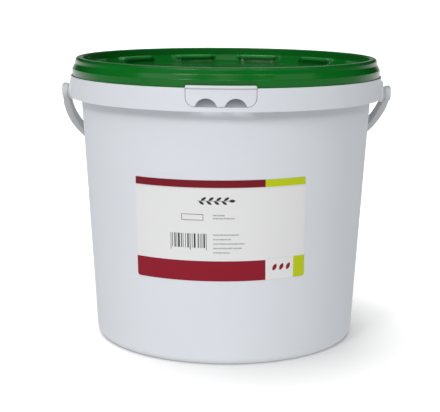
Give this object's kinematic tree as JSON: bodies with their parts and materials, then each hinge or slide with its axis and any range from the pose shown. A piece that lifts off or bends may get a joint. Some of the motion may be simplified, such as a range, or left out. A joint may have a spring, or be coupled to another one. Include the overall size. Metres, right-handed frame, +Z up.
{
  "type": "plastic storage pail with lid",
  "caption": "Round tapered plastic storage pail with a wide collar, a press-on sunk lid with stacking lugs, a tear tab, a front label and a swinging bail handle.",
  "frame": {"origin": "on the pail's axis, at the surface the foot ring stands on", "axes": "+Z up, -Y towards the front with the tear tab and the label, +X along the handle's pivot axis"},
  "size_m": [0.3002, 0.2828, 0.2528],
  "materials": {
    "pail_plastic": "white polypropylene, satin, a little cool",
    "lid_plastic": "deep green polypropylene, half gloss",
    "handle_plastic": "greyish white polypropylene, satin",
    "label_paper": "coated white paper with printed red and lime bands"
  },
  "bodies": {
    "pail": {"pail_tub": "pail_plastic", "pail_collar": "pail_plastic", "tear_tab": "pail_plastic", "lid": "lid_plastic", "label": "label_paper"},
    "handle": {"handle": "handle_plastic"}
  },
  "joints": [
    {"name": "handle_swing", "type": "hinge", "parent": "pail", "child": "handle", "pos_m": [0, 0, 0.221], "axis": [1, 0, 0], "range_deg": [0, 244]}
  ]
}
